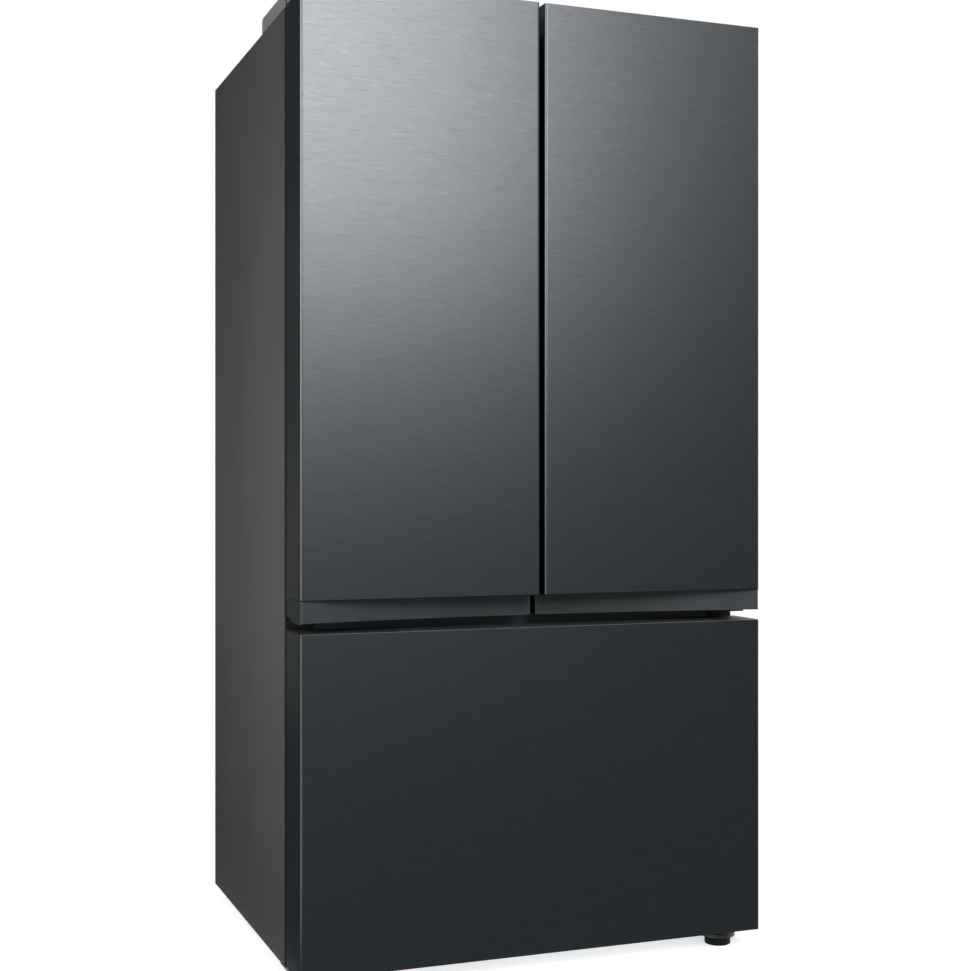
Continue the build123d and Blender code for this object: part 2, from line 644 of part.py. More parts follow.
with BuildPart() as centre_bar:
    # folding bar on the left door, shown folded back; turned out, both door gaskets seal on it
    with BuildSketch(Plane.XY.offset(bar_low)) as section:
        with Locations((fold_x - 4.25, fold_y + 28)):
            RectangleRounded(19.5, 68, 3)
    extrude(section.sketch, amount=bar_high - bar_low)
    for z in ear_rows:
        box(fold_x - 16, fold_x + 8, fold_y - 8, fold_y + 12, z - 17, z + 17, Mode.SUBTRACT)
        rod(fold_x, fold_y, z - 18, z + 18, 2.5)
keep(centre_bar.part, "centre_bar")

# --- freezer drawer ---------------------------------------------------------------------------
with BuildPart() as drawer_skin:
    with BuildSketch(Plane.XY.offset(drawer_low)) as fold:
        with Locations((0, (front_y + door_back) / 2)):
            Rectangle(width, door_back - front_y)
        fillet(fold.vertices().group_by(Axis.Y)[0], bend)
        with BuildSketch(mode=Mode.PRIVATE) as core:
            with Locations((0, (front_y + door_back) / 2 + 1)):
                Rectangle(width - 2 * steel, door_back - front_y)
            fillet(core.vertices().group_by(Axis.Y)[0], bend - steel)
        add(core.sketch, mode=Mode.SUBTRACT)
    extrude(fold.sketch, amount=drawer_high - drawer_low)
    front_top = drawer_skin.edges().filter_by(Axis.X).group_by(Axis.Z)[-1].sort_by(Axis.Y)[0]
    chamfer(front_top, 0.6)
keep(drawer_skin.part, "drawer_skin")


def finger_arc(low, high):
    """Cuts the finger space behind the drawer's top, its front wall one arc."""
    radius = arc_through(finger_half, door_thick - ledge_mid)
    with BuildSketch(Plane.XY.offset(low)) as space:
        with Locations((0, front_y + ledge_mid + radius)):
            Circle(radius)
        with Locations((0, door_back + 500)):
            Rectangle(2 * radius, 1000 - 2, mode=Mode.SUBTRACT)
    extrude(space.sketch, amount=high - low, mode=Mode.SUBTRACT)
    box(-finger_half, finger_half, door_back - 4, door_back + 1, low, high, Mode.SUBTRACT)


with BuildPart() as drawer_cap:
    # moulded top of the drawer front, flat to the back at its ends, with the finger space between
    front_block(-half + 1.1, half - 1.1, front_y + 1.1, door_back - 3.1, cap_low, drawer_high)
    finger_arc(finger_floor, drawer_high + 1)
keep(drawer_cap.part, "drawer_cap")

with BuildPart() as drawer_foam:
    front_block(-half + 1.2, half - 1.2, front_y + 1.2, door_back - 3.1, drawer_low + 3.1, cap_low - 0.1)
keep(drawer_foam.part, "drawer_foam")

with BuildPart() as drawer_liner:
    # back plate of the drawer front, folded under the foam
    box(-half + 1.1, half - 1.1, door_back - 3, door_back, drawer_low, drawer_high - 0.2)
    front_block(-half + 1.6, half - 1.6, front_y + 1.6, door_back - 2, drawer_low, drawer_low + 3)
    box(-finger_half, finger_half, door_back - 4, door_back + 1, finger_floor, drawer_high + 1,
        Mode.SUBTRACT)
    # the pressed panel that stands into the compartment
    with BuildSketch(Plane.XZ.offset(-door_back)) as raised:
        with Locations((0, (90 + 596) / 2)):
            RectangleRounded(776, 596 - 90, 20)
    extrude(raised.sketch, amount=-7, taper=30)
keep(drawer_liner.part, "drawer_liner")

seal_ring(-hinge_x + 6, hinge_x - 6, 52, 622, "drawer_gasket")


def rail(web, lip, z0, z1, y0, y1, t=1.5):
    """One member of a telescopic rail on both sides: a channel open towards the middle."""
    for side in (-1, 1):
        with BuildSketch(Plane.XZ.offset(-y0)) as channel:
            x0, x1 = span(side, lip, web)
            with Locations(((x0 + x1) / 2, (z0 + z1) / 2)):
                Rectangle(x1 - x0, z1 - z0)
            x0, x1 = span(side, lip - 1, web - t)
            with Locations(((x0 + x1) / 2, (z0 + z1) / 2)):
                Rectangle(x1 - x0, z1 - z0 - 2 * t, mode=Mode.SUBTRACT)
        extrude(channel.sketch, amount=-(y1 - y0))


with BuildPart() as outer_rails:
    rail(room_half - 0.1, 391, rail_low, rail_high, rail_near, rail_far)
keep(outer_rails.part, "outer_rails")

with BuildPart() as middle_rails:
    rail(400.1, 389, rail_low + 1.8, rail_high - 1.8, rail_near, rail_far)
keep(middle_rails.part, "middle_rails")

with BuildPart() as inner_rails:
    # they bolt to the drawer front through a foot at the front end
    rail(398.3, 385, rail_low + 3.6, rail_high - 3.6, door_back + 7.1, rail_far)
    for side in (-1, 1):
        x0, x1 = span(side, 361, 386)
        box(x0, x1, door_back + 7.1, rail_far, rail_high - 5.1, rail_high - 3.6)
        with BuildSketch(Plane.XZ.offset(-door_back - 7.1)) as foot:
            with Locations((side * 372, rail_low - 25)):
                RectangleRounded(22, 130, 5)
        extrude(foot.sketch, amount=-3)
        box(*span(side, 381, 386), door_back + 7.1, door_back + 40, rail_low + 3.6, rail_high - 3.6)
keep(inner_rails.part, "inner_rails")

with BuildPart() as drawer_basket:
    add(open_tray(-357, 357, door_back + 12, 122, freezer_floor + 12, rail_high - 1, 25))
    with BuildSketch(Plane.XY.offset(rail_high - 3.5)) as flange:
        with Locations((0, (door_back + 12 + 122) / 2)):
            RectangleRounded(748, 122 - door_back - 12, 25)
            RectangleRounded(710, 122 - door_back - 12 - 4, 23, mode=Mode.SUBTRACT)
    extrude(flange.sketch, amount=2.5)
keep(drawer_basket.part, "drawer_basket")

with BuildPart() as upper_tray:
    add(open_tray(-372, 372, -252, 214, tray_low, tray_high, 25, draft=1.0))
keep(upper_tray.part, "upper_tray")

# --- inside the fridge ------------------------------------------------------------------------
for side, name in ((-1, "left_crisper"), (1, "right_crisper")):
    with BuildPart() as crisper:
        x0, x1 = span(side, 8, crisper_half)
        add(open_tray(x0, x1, crisper_y, crisper_y + 300, crisper_low, crisper_high, 14, draft=1.0))
        # turned-down lip along the front to pull it by
        box(x0 + 14, x1 - 14, crisper_y - 9, crisper_y + 1, crisper_high - 2.5, crisper_high)
        box(x0 + 14, x1 - 14, crisper_y - 9, crisper_y - 6.5, crisper_high - 16, crisper_high)
    keep(crisper.part, name)

with BuildPart() as air_duct:
    # column on the rear wall that spreads the cold air, with slots at each shelf
    with BuildSketch(Plane.XY.offset(920)) as section:
        with BuildLine():
            Polyline((-62, room_back - 0.2), (-44, 272), (44, 272), (62, room_back - 0.2), close=True)
        make_face()
    extrude(section.sketch, amount=700)
    fillet(air_duct.edges().filter_by(Axis.Z).group_by(Axis.Y)[0], 8)
    with BuildSketch(Plane.XY.offset(930)) as hollow:
        with BuildLine():
            Polyline((-56, room_back), (-41, 276), (41, 276), (56, room_back), close=True)
        make_face()
    extrude(hollow.sketch, amount=680, mode=Mode.SUBTRACT)
    with BuildSketch(Plane.XZ.offset(-260)) as slots:
        for z in (1010, 1270, 1500):
            with Locations((0, z)):
                with GridLocations(0, 11, 1, 4):
                    SlotOverall(64, 5)
    extrude(slots.sketch, amount=-20, mode=Mode.SUBTRACT)
keep(air_duct.part, "air_duct")

with BuildPart() as shelf_tracks:
    # slotted steel uprights that the shelves hook into
    for x in track_x:
        box(x - 9, x + 9, room_back - 8, room_back - 0.1, 960, 1620)
        box(x - 7, x + 7, room_back - 6.5, room_back + 1, 959, 1621, Mode.SUBTRACT)
        with BuildSketch(Plane.XZ.offset(-room_back + 12)) as slots:
            with Locations((x, 1290)):
                with GridLocations(0, 40, 1, 15):
                    Rectangle(4, 16)
        extrude(slots.sketch, amount=-10, mode=Mode.SUBTRACT)
keep(shelf_tracks.part, "shelf_tracks")

with BuildPart() as shelf_frames:
    # half-width cantilever shelves: moulded rim with two arms that hook into the uprights
    for side in (-1, 1):
        for z in shelf_z:
            x0, x1 = span(side, shelf_near, shelf_far)
            with BuildSketch(Plane.XY.offset(z)) as rim:
                with Locations(((x0 + x1) / 2, (shelf_front + shelf_back) / 2)):
                    RectangleRounded(x1 - x0, shelf_back - shelf_front, 8)
                    RectangleRounded(x1 - x0 - 28, shelf_back - shelf_front - 32, 4,
                                     mode=Mode.SUBTRACT)
            extrude(rim.sketch, amount=14)
            # rebate for the glass
            box(x0 + 8, x1 - 8, shelf_front + 10, shelf_back - 10, z + 9, z + 15, Mode.SUBTRACT)
            for x in (side * track_x[2], side * track_x[3]):
                with BuildSketch(Plane.YZ.offset(x - 1.5)) as arm:
                    with BuildLine():
                        Polyline((shelf_front + 90, z + 0.5), (shelf_back - 20, z + 0.5),
                                 (room_back - 8.1, z + 0.5), (room_back - 8.1, z - 46),
                                 (shelf_back - 60, z - 30), (shelf_front + 90, z - 6), close=True)
                    make_face()
                extrude(arm.sketch, amount=3)
    # full-width cover over the crispers, resting on the ledges of the liner
    with BuildSketch(Plane.XY.offset(cover_z)) as rim:
        with Locations((0, (cover_y0 + cover_y1) / 2)):
            RectangleRounded(2 * cover_half, cover_y1 - cover_y0, 8)
            RectangleRounded(2 * cover_half - 40, cover_y1 - cover_y0 - 40, 4, mode=Mode.SUBTRACT)
    extrude(rim.sketch, amount=14)
    box(-cover_half + 11.7, cover_half - 11.7, cover_y0 + 11.7, cover_y1 - 11.7, cover_z + 9,
        cover_z + 15, Mode.SUBTRACT)
keep(shelf_frames.part, "shelf_frames")

with BuildPart() as shelf_panes:
    for side in (-1, 1):
        for z in shelf_z:
            x0, x1 = span(side, shelf_near + 8.3, shelf_far - 8.3)
            box(x0, x1, shelf_front + 10.3, shelf_back - 10.3, z + 9, z + 13)
    box(-cover_half + 12, cover_half - 12, cover_y0 + 12, cover_y1 - 12, cover_z + 9, cover_z + 13)
keep(shelf_panes.part, "shelf_panes")

with BuildPart() as ceiling_panel:
    # lamp and touch panel under the fridge's ceiling
    z = fridge_roof - 0.1
    with BuildSketch(Plane.XY.offset(z)) as outline:
        with Locations((0, -60)):
            RectangleRounded(420, 150, 16)
    extrude(outline.sketch, amount=-14, taper=20)
    with BuildSketch(Plane.XY.offset(z - 14)) as lens:
        with Locations((0, -30)):
            RectangleRounded(300, 50, 8)
    extrude(lens.sketch, amount=1.5, mode=Mode.SUBTRACT)
    # block at the front with the curved groove that turns the folding bar out as the door shuts
    with BuildSketch(Plane.XY.offset(bar_high + 3)) as block:
        with Locations((fold_x + guide_long / 2 - 14, guide_y)):
            RectangleRounded(guide_long, guide_wide, 8)
    extrude(block.sketch, amount=z - bar_high - 3)
    with BuildSketch(Plane.XY.offset(bar_high + 3)) as groove:
        # a quarter ring, open at the front edge of the block
        with Locations((fold_x + guide_turn, guide_y - guide_wide / 2)):
            Circle(guide_turn + 4)
            Circle(guide_turn - 4, mode=Mode.SUBTRACT)
        with Locations((fold_x + guide_turn + 50, guide_y)):
            Rectangle(100, 200, mode=Mode.SUBTRACT)
    extrude(groove.sketch, amount=7, mode=Mode.SUBTRACT)
keep(ceiling_panel.part, "ceiling_panel")

# --- cooling ----------------------------------------------------------------------------------


def fan_rotor(hub_r, tip_r, deep, blades, shaft, name, where):
    """An axial fan about the Z axis of its place, with twisted blades and its shaft behind."""
    with BuildPart() as rotor:
        Cylinder(hub_r, deep)
        fillet(rotor.edges().filter_by(GeomType.CIRCLE).group_by(Axis.Z)[-1], 3)
        with BuildPart(mode=Mode.PRIVATE) as blade:
            for r, chord, thick, pitch in ((hub_r - 2, 1.3 * hub_r, 2.0, 42),
                                           (tip_r, 0.8 * tip_r, 1.4, 22)):
                with BuildSketch(Plane(origin=(r, 0, 0), x_dir=(0, 1, 0), z_dir=(1, 0, 0))):
                    Rectangle(chord, thick, rotation=pitch)
            loft()
        with PolarLocations(0, blades):
            add(blade.part)
        with Locations((0, 0, -shaft / 2)):
            Cylinder(2.5, shaft)
        with BuildPart(mode=Mode.PRIVATE) as swept:
            Cylinder(tip_r, 4 * deep + 2 * shaft)
        add(swept.part, mode=Mode.INTERSECT)
    placed = where * rotor.part
    keep(placed, name)


def finned_coil(run_half, rows, row_step, columns, column_step, fins, fin_step, fin_size,
                name, where):
    """Columns of tube bent to and fro along X, through thin fins that stand across them."""
    with BuildPart() as coil:
        for k in range(fins):
            with Locations(((k - (fins - 1) / 2) * fin_step, 0, 0)):
                Box(2.0 if k in (0, fins - 1) else 0.8, *fin_size)
        for i in range(columns):
            y = (i - (columns - 1) / 2) * column_step
            turns = []
            for j in range(rows):
                z = (j - (rows - 1) / 2) * row_step
                start = -run_half if j % 2 == 0 else run_half
                turns += [(start, y, z), (-start, y, z)]
            with BuildLine():
                path = FilletPolyline(*turns, radius=row_step / 2 - 0.01)
            with BuildSketch(Plane(origin=path @ 0, z_dir=path % 0)) as tube:
                Circle(4)
            sweep(tube.sketch, path=path)
    placed = where * coil.part
    keep(placed, name)


finned_coil(200.0, 4, 26.0, 2, 25.0, 25, 15.0, (50, 116), "evaporator", Location((0, 268, step_z + 58.1)))
finned_coil(65.0, 5, 26.0, 4, 34.0, 13, 8.5, (150, 150), "condenser",
            Location((-300, 291, pan_floor + 75), (0, 0, 90)))

with BuildPart() as evaporator_cover:
    # moulded wall in front of the evaporator, with its air slots and the mount of the fan
    y = 232.0
    box(-room_half + 2, room_half - 2, y, y + 2.5, step_z + 0.1, freezer_roof - 0.1)
    for x in (-room_half + 2, room_half - 4.5):
        box(x, x + 2.5, y, y + 14, step_z + 0.1, freezer_roof - 0.1)
    with BuildSketch(Plane.XZ.offset(-y + 5)) as openings:
        with Locations((0, cold_fan_z)):
            Circle(50)
        for x in (-250, 250):
            with Locations((x, 560)):
                with GridLocations(0, 14, 1, 4):
                    SlotOverall(160, 6)
            with Locations((x, 372)):
                with GridLocations(42, 0, 6, 1):
                    SlotOverall(34, 6, rotation=90)
    extrude(openings.sketch, amount=-12, mode=Mode.SUBTRACT)
    with Locations(Location((0, y + 40, cold_fan_z), (90, 0, 0))):
        Cylinder(18, 22)
    for angle in (90, 210, 330):
        with BuildSketch(Plane(origin=(0, y + 32, cold_fan_z), x_dir=(1, 0, 0), z_dir=(0, 1, 0))
                         .rotated((0, angle, 0))) as spoke:
            with Locations((36, 0)):
                Rectangle(44, 6)
        extrude(spoke.sketch, amount=3)
        with BuildSketch(Plane(origin=(0, y + 1, cold_fan_z), x_dir=(1, 0, 0), z_dir=(0, 1, 0))
                         .rotated((0, angle, 0))) as leg:
            with Locations((55.5, 0)):
                Rectangle(5, 6)
        extrude(leg.sketch, amount=34)
    with Locations(Location((0, y + 40, cold_fan_z), (90, 0, 0))):
        Cylinder(2.5 + running, 60, mode=Mode.SUBTRACT)
keep(evaporator_cover.part, "evaporator_cover")

fan_rotor(14, 45, 14, 5, 30, "evaporator_fan", Location((0, 246, cold_fan_z), (90, 0, 0)))

with BuildPart() as condenser_shroud:
    # plate and cowl that hold the condenser fan between the condenser and the compressor
    x = shroud_x
    with BuildSketch(Plane.YZ.offset(x)) as plate:
        with Locations((hot_fan_y, (pan_floor + 228) / 2)):
            Rectangle(142, 228 - pan_floor)
        with Locations((hot_fan_y, hot_fan_z)):
            Circle(60, mode=Mode.SUBTRACT)
    extrude(plate.sketch, amount=2.5)
    with BuildSketch(Plane.YZ.offset(x)) as cowl:
        with Locations((hot_fan_y, hot_fan_z)):
            Circle(63)
            Circle(60, mode=Mode.SUBTRACT)
    extrude(cowl.sketch, amount=26)
    with BuildSketch(Plane.YZ.offset(x + 23)) as spokes:
        with Locations((hot_fan_y, hot_fan_z)):
            with PolarLocations(39, 3, start_angle=90):
                Rectangle(46, 7)
            Circle(18)
    extrude(spokes.sketch, amount=3)
    with Locations(Location((x + 36, hot_fan_y, hot_fan_z), (0, 90, 0))):
        Cylinder(18, 26)
    with Locations(Location((x + 30, hot_fan_y, hot_fan_z), (0, 90, 0))):
        Cylinder(2.5 + running, 60, mode=Mode.SUBTRACT)
keep(condenser_shroud.part, "condenser_shroud")

fan_rotor(16, 56, 14, 7, 36, "condenser_fan",
          Location((shroud_x + 12, hot_fan_y, hot_fan_z), (0, -90, 0)))

with BuildPart() as drain_pan:
    add(open_tray(-388, -212, 224, 358, pan_floor + 150, pan_floor + 175, 12, draft=3.0, wall=2.0))
keep(drain_pan.part, "drain_pan")

comp_x, comp_y, comp_foot = 240.0, 290.0, pan_floor + 13.5
with BuildPart() as compressor:
    # two drawn steel shells welded at a seam, on a foot plate
    with BuildSketch(Plane(origin=(comp_x, comp_y, comp_foot), x_dir=(1, 0, 0), z_dir=(0, -1, 0))):
        with BuildLine():
            Line((0, 2), (42, 2))
            RadiusArc((42, 2), (62, 22), -20)
            Polyline((62, 22), (62, 74), (66, 74), (66, 79), (62, 79), (62, 118))
            RadiusArc((62, 118), (26, 154), -36)
            Line((26, 154), (0, 154))
            Line((0, 154), (0, 2))
        make_face()
    revolve(axis=Axis((comp_x, comp_y, 0), (0, 0, 1)))
    with BuildSketch(Plane.XY.offset(comp_foot)) as foot_plate:
        with Locations((comp_x, comp_y)):
            RectangleRounded(186, 116, 14)
            with GridLocations(150, 84, 2, 2):
                Circle(4, mode=Mode.SUBTRACT)
    extrude(foot_plate.sketch, amount=3)
    # terminal cover and the two pipe stubs
    with BuildSketch(Plane.XY.offset(comp_foot + 34)) as terminals:
        with Locations((comp_x - 68, comp_y)):
            RectangleRounded(28, 44, 5)
    extrude(terminals.sketch, amount=50)
    rod(comp_x + 30, comp_y + 18, comp_foot + 120, comp_foot + 172, 4)
    rod(comp_x + 30, comp_y - 18, comp_foot + 120, comp_foot + 166, 3)
keep(compressor.part, "compressor")

with BuildPart() as compressor_mounts:
    # rubber feet of the compressor, waisted, each pushed through a hole of the foot plate
    for dx in (-75, 75):
        for dy in (-42, 42):
            rod(comp_x + dx, comp_y + dy, pan_floor, comp_foot, 11)
            with Locations((comp_x + dx, comp_y + dy, pan_floor + 7)):
                Torus(14, 5, mode=Mode.SUBTRACT)
            rod(comp_x + dx, comp_y + dy, comp_foot - 1, comp_foot + 3.2, 3.9)
            rod(comp_x + dx, comp_y + dy, comp_foot + 3.1, comp_foot + 7, 7)
keep(compressor_mounts.part, "compressor_mounts")
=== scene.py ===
import json
import math

import bpy
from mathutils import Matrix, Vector


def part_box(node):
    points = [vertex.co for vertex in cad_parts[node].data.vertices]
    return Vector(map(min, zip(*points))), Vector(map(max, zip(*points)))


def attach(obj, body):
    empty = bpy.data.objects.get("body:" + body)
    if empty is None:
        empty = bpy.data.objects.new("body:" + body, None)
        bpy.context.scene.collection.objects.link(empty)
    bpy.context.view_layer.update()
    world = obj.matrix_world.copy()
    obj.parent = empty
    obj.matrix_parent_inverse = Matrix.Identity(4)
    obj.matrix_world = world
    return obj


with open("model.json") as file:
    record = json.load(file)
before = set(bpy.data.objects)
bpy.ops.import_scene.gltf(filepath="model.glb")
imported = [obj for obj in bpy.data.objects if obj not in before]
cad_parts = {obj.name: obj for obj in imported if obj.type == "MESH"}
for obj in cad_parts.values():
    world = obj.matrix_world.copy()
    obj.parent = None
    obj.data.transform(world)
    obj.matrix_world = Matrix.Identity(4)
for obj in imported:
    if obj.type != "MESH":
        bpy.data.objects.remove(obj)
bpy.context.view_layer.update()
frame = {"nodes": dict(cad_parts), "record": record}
scene = bpy.context.scene
scene.view_settings.view_transform = "Standard"

mm = 0.001
hands = {"left": -1, "right": 1}  # which way along X each hand lies
noiseRange = (0.3, 0.7)  # where nearly all of a noise's values lie


def toLinear(hexColour):
    # sRGB hex to the linear values that Blender works in
    channels = [int(hexColour[i:i + 2], 16) / 255 for i in (1, 3, 5)]
    return [c / 12.92 if c <= 0.04045 else ((c + 0.055) / 1.055) ** 2.4 for c in channels] + [1.0]


def addNode(tree, kind, settings=None, links=None):
    # a node with its properties, socket values and incoming links in one go
    node = tree.nodes.new(kind)
    for key, value in (settings or {}).items():
        if isinstance(key, int) or key in node.inputs:
            node.inputs[key].default_value = value
        else:
            setattr(node, key, value)
    for key, source in (links or {}).items():
        tree.links.new(source, node.inputs[key])
    return node


def emptyMaterial(name):
    # a material with no nodes in it yet
    material = bpy.data.materials.new(name)
    material.use_nodes = True
    material.node_tree.nodes.clear()
    return material, material.node_tree


def newFinish(name, settings):
    # a material with one Principled shader, set up with the given socket values
    material, tree = emptyMaterial(name)
    shader = addNode(tree, "ShaderNodeBsdfPrincipled", settings)
    addNode(tree, "ShaderNodeOutputMaterial", {}, {"Surface": shader.outputs["BSDF"]})
    return material, tree, shader


def addPattern(tree, kind, cell, settings):
    # a texture on the object's own coordinates, one of whose cells or blobs measures cell in metres,
    # with three sizes where the axes differ
    sizes = cell if isinstance(cell, tuple) else (cell,) * 3
    place = addNode(tree, "ShaderNodeTexCoord")
    cells = addNode(tree, "ShaderNodeMapping", {"Scale": [1 / size for size in sizes]},
                    {"Vector": place.outputs["Object"]})
    return addNode(tree, kind, {"Scale": 1.0, **settings}, {"Vector": cells.outputs["Vector"]}).outputs


def varyColour(tree, shader, field, look, usual=noiseRange):
    # the field, whose values usually lie in the given range, swings the base colour from dark to light.
    # A Mix of colours takes its factor at socket 0 and the colours at 6 and 7, and gives the result at 2
    share = addNode(tree, "ShaderNodeMapRange", {"From Min": usual[0], "From Max": usual[1]},
                    {"Value": field})
    mix = addNode(tree, "ShaderNodeMix",
                  {"data_type": "RGBA", 6: toLinear(look["dark"]), 7: toLinear(look["light"])},
                  {0: share.outputs["Result"]})
    tree.links.new(mix.outputs[2], shader.inputs["Base Color"])


def paintOver(tree, shader, mask, hexColour, blend="MIX"):
    # where the mask is 1, a plain colour covers the base colour so far, or is added or taken away
    under = shader.inputs["Base Color"].links[0].from_socket
    mix = addNode(tree, "ShaderNodeMix", {"data_type": "RGBA", "blend_type": blend, 7: toLinear(hexColour)},
                  {0: mask, 6: under})
    tree.links.new(mix.outputs[2], shader.inputs["Base Color"])


def varyRoughness(tree, shader, field, roughness, usual=noiseRange):
    # the field swings the roughness between the two values
    swing = addNode(tree, "ShaderNodeMapRange", {"From Min": usual[0], "From Max": usual[1],
                                                 "To Min": roughness[0], "To Max": roughness[1]},
                    {"Value": field})
    tree.links.new(swing.outputs["Result"], shader.inputs["Roughness"])


def addRelief(tree, shader, field, depth):
    # the field stands out of the surface by the given depth in metres
    bump = addNode(tree, "ShaderNodeBump", {"Strength": 1.0, "Distance": depth}, {"Height": field})
    tree.links.new(bump.outputs["Normal"], shader.inputs["Normal"])


def onObject(tree, kind):
    # the object's own coordinates or normals, one output for each axis
    place = addNode(tree, "ShaderNodeTexCoord")
    return addNode(tree, "ShaderNodeSeparateXYZ", {}, {"Vector": place.outputs[kind]}).outputs


def patternedFinish(name, look, settings):
    # a finish with one noise, whose blobs measure the look's cell. Where the look says so, it swings the
    # colour between dark and light, the roughness between two values, and the surface by the relief
    material, tree, shader = newFinish(name, settings)
    field = addPattern(tree, "ShaderNodeTexNoise", look["cell"], {"Detail": look["detail"]})["Fac"]
    if "dark" in look:
        varyColour(tree, shader, field, look)
    if "roughness" in look:
        varyRoughness(tree, shader, field, look["roughness"])
    if "relief" in look:
        addRelief(tree, shader, field, look["relief"])
    return material


# finishes, one function for each real material

darkSteel = {"dark": "#5b5d5f", "light": "#606265", "roughness": (0.36, 0.34),
             "grain": (30 * mm, 30 * mm, 0.9 * mm), "dash": (30 * mm, 30 * mm, 1.9 * mm),
             "paleDash": (0.70, 0.80), "darkDash": (0.20, 0.30), "dashContrast": 0.016,
             "relief": 0.001 * mm}


def darkBrushedSteel():
    # black-tinted stainless, belt-brushed along X: a soft wide highlight, a fine level grain and a few
    # paler and darker dashes where the belt bit deeper. Real brush lines are under 0.2 mm apart, drawn
    # wider to show, and the paler they are the smoother
    look = darkSteel
    material, tree, shader = newFinish("darkBrushedSteel", {"Metallic": 1.0})
    grain = addPattern(tree, "ShaderNodeTexNoise", look["grain"], {"Detail": 2.0})["Fac"]
    dashes = addPattern(tree, "ShaderNodeTexNoise", look["dash"], {"Detail": 0.0})["Fac"]
    varyColour(tree, shader, grain, look)
    paler = addNode(tree, "ShaderNodeMapRange",
                    {"From Min": look["paleDash"][0], "From Max": look["paleDash"][1],
                     "To Min": 0.0, "To Max": look["dashContrast"]}, {"Value": dashes})
    darker = addNode(tree, "ShaderNodeMapRange",
                     {"From Min": look["darkDash"][0], "From Max": look["darkDash"][1],
                      "To Min": look["dashContrast"], "To Max": 0.0}, {"Value": dashes})
    paintOver(tree, shader, paler.outputs["Result"], "#ffffff", "ADD")
    paintOver(tree, shader, darker.outputs["Result"], "#ffffff", "SUBTRACT")
    varyRoughness(tree, shader, grain, look["roughness"])
    addRelief(tree, shader, grain, look["relief"])
    return material


# the flange colour and depth are painted shade: the near-black band that stands for the shade in the gaps
# round the doors
caseCoat = {"dark": "#4d494a", "light": "#544f50", "cloud": 250 * mm, "roughness": 0.5, "shine": 0.3,
            "peel": 3.0 * mm, "relief": 0.02 * mm, "flange": "#202427", "flangeDeep": 1.2 * mm}


def precoatedSteel():
    # coil-coated sheet, warm dark grey: satin, with the faint orange peel of a rolled-on coat.
    # The front 1.2 mm of the case, the flange that the doors close on, is painted near-black as painted
    # shade for the gaps round the doors
    look = caseCoat
    material, tree, shader = newFinish("precoatedSteel", {"Roughness": look["roughness"], "IOR": 1.5,
                                                          "Specular IOR Level": look["shine"]})
    peel = addPattern(tree, "ShaderNodeTexNoise", look["peel"], {"Detail": 1.0})["Fac"]
    cloud = addPattern(tree, "ShaderNodeTexNoise", look["cloud"], {"Detail": 3.0})["Fac"]
    varyColour(tree, shader, cloud, look)
    caseFront = min(v.co.y for v in frame["nodes"]["outer_case"].data.vertices)
    # painted shade: everything nearer the front than the flange depth turns near-black
    inGapShade = addNode(tree, "ShaderNodeMath", {"operation": "LESS_THAN", 1: caseFront + look["flangeDeep"]},
                      {0: onObject(tree, "Object")["Y"]})
    paintOver(tree, shader, inGapShade.outputs[0], look["flange"])
    addRelief(tree, shader, peel, look["relief"])
    return material


plastics = {
    "charcoalAbs": {"dark": "#2e3234", "light": "#373b3d", "roughness": (0.46, 0.54), "shine": 0.4},
    "greyAbs": {"dark": "#868687", "light": "#909091", "roughness": (0.42, 0.50), "shine": 0.5},
    "silverAbs": {"dark": "#a6aaad", "light": "#b3b7ba", "roughness": (0.34, 0.42), "shine": 0.5},
    "whiteAbs": {"dark": "#d8dadb", "light": "#e4e6e7", "roughness": (0.30, 0.38), "shine": 0.5},
    "blackPlastic": {"dark": "#0c0d0d", "light": "#131414", "roughness": (0.46, 0.54), "shine": 0.12},
    "railCoat": {"dark": "#424a4e", "light": "#495256", "roughness": (0.46, 0.54), "shine": 0.5},
}
mouldTexture = {"cloud": 150 * mm, "grain": 1.4 * mm, "relief": 0.03 * mm}


def mouldedPlastic(name, look):
    # injection-moulded ABS: even colour, a fine spark-eroded grain that breaks its highlight. The real
    # grain is under 0.5 mm across, drawn coarser to show
    material, tree, shader = newFinish(name, {"IOR": 1.53, "Specular IOR Level": look["shine"]})
    speck = addPattern(tree, "ShaderNodeTexNoise", mouldTexture["grain"], {"Detail": 2.0})["Fac"]
    cloud = addPattern(tree, "ShaderNodeTexNoise", mouldTexture["cloud"], {"Detail": 2.0})["Fac"]
    varyColour(tree, shader, cloud, look)
    varyRoughness(tree, shader, speck, look["roughness"])
    addRelief(tree, shader, speck, mouldTexture["relief"])
    return material


# painted shade on the grips' ends: the near-black colour and duller roughness of their sideways faces
gripEndShade = {"colour": "#15181a", "roughness": (0.5, 0.72), "turned": (0.3, 0.75)}


def gripWithShadedEnds():
    # charcoal plastic, with painted shade on its ends: faces turned sideways are darkened and made duller,
    # so that the grips' ends stay as dark as the door sides beside them. The mask grows with the share of X
    # in the normal, over the range that turned gives
    look = gripEndShade
    material = mouldedPlastic("gripWithShadedEnds", plastics["charcoalAbs"])
    tree = material.node_tree
    shader = tree.nodes["Principled BSDF"]
    sideways = addNode(tree, "ShaderNodeMath", {"operation": "ABSOLUTE"}, {0: onObject(tree, "Normal")["X"]})
    end = addNode(tree, "ShaderNodeMapRange", {"From Min": look["turned"][0], "From Max": look["turned"][1]},
                  {"Value": sideways.outputs[0]}).outputs["Result"]
    # painted shade: the sideways ends turn near-black
    paintOver(tree, shader, end, look["colour"])
    varyRoughness(tree, shader, end, look["roughness"], (0.0, 1.0))
    return material


linerSheet = {"dark": "#e4e7e8", "light": "#eef0f0", "roughness": (0.16, 0.24), "relief": 0.3 * mm,
              "cell": 90 * mm, "detail": 1.0}


